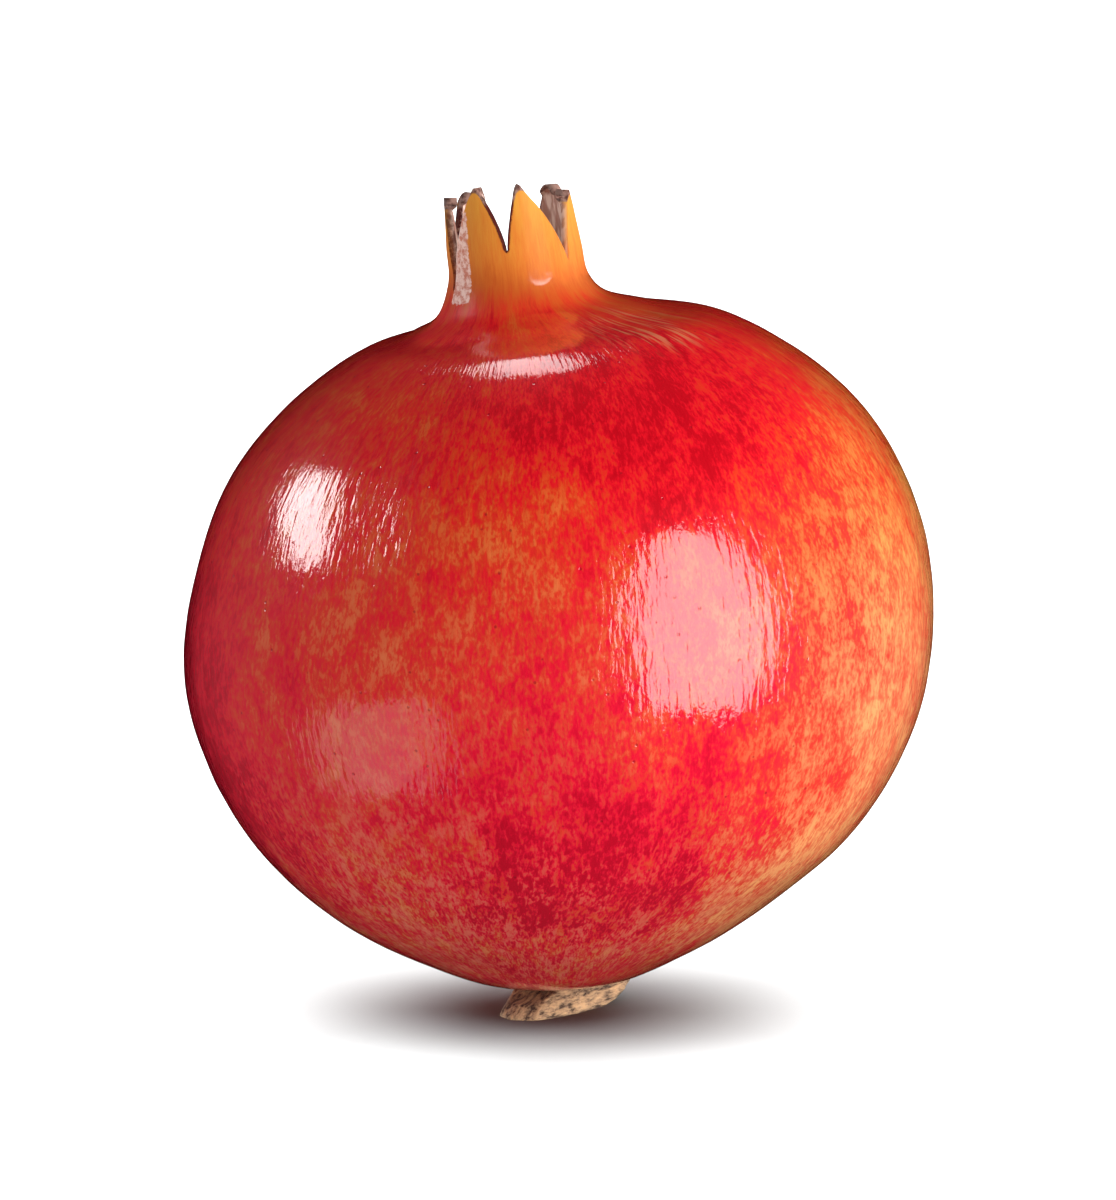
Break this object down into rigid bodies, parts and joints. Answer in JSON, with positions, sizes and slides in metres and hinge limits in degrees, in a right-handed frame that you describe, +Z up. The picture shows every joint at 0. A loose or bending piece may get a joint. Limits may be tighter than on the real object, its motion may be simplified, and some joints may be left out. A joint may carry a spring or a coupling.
{
  "type": "pomegranate",
  "caption": "Whole ripe pomegranate with a leathery red rind and an open toothed crown, standing on its cut woody stem.",
  "frame": {"origin": "on the table, under the middle of the fruit's box", "axes": "+Z up through the crown, the pictured front faces -Y, +X to the right"},
  "size_m": [0.0918, 0.0924, 0.1032],
  "materials": {
    "rind": "waxy red rind mottled with orange, turning orange yellow at the crown",
    "stem_wood": "dry fibrous tan wood, cut level",
    "withered_stamens": "dry matt brown threads"
  },
  "bodies": {
    "root": {"fruit": "rind", "stem_stub": "stem_wood", "stamens": "withered_stamens"}
  },
  "joints": []
}
